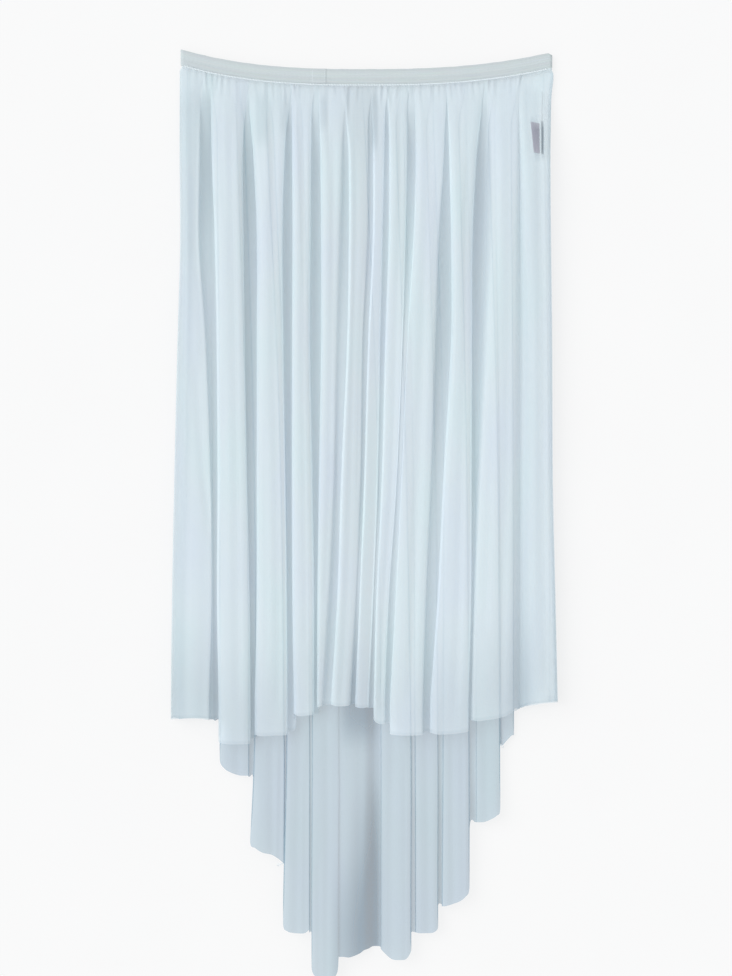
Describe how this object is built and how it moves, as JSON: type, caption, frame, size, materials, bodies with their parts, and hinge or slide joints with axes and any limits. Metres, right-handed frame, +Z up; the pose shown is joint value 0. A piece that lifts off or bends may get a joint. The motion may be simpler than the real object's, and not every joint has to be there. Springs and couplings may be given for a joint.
{
  "type": "ballet skirt",
  "caption": "Pull-on ballet skirt in sheer pale blue mesh, laid out flat: narrow elastic waist, gathered folds, a short front and a long pointed back.",
  "frame": {"origin": "under the middle of the laid-out skirt, on the surface that it lies on", "axes": "+Y towards the waist, along the skirt's length; +Z up from the surface, out of the front; +X to the right of somebody who looks down on the front"},
  "size_m": [0.3515, 0.8443, 0.0249],
  "materials": {
    "elastic": "woven elastic, matt",
    "mesh_cloth": "fine sheer stretch mesh, soft sheen",
    "label_satin": "satin ribbon, blank"
  },
  "bodies": {
    "root": {"waist_elastic": "elastic", "front_panel": "mesh_cloth", "back_panel": "mesh_cloth", "care_label": "label_satin"}
  },
  "joints": []
}
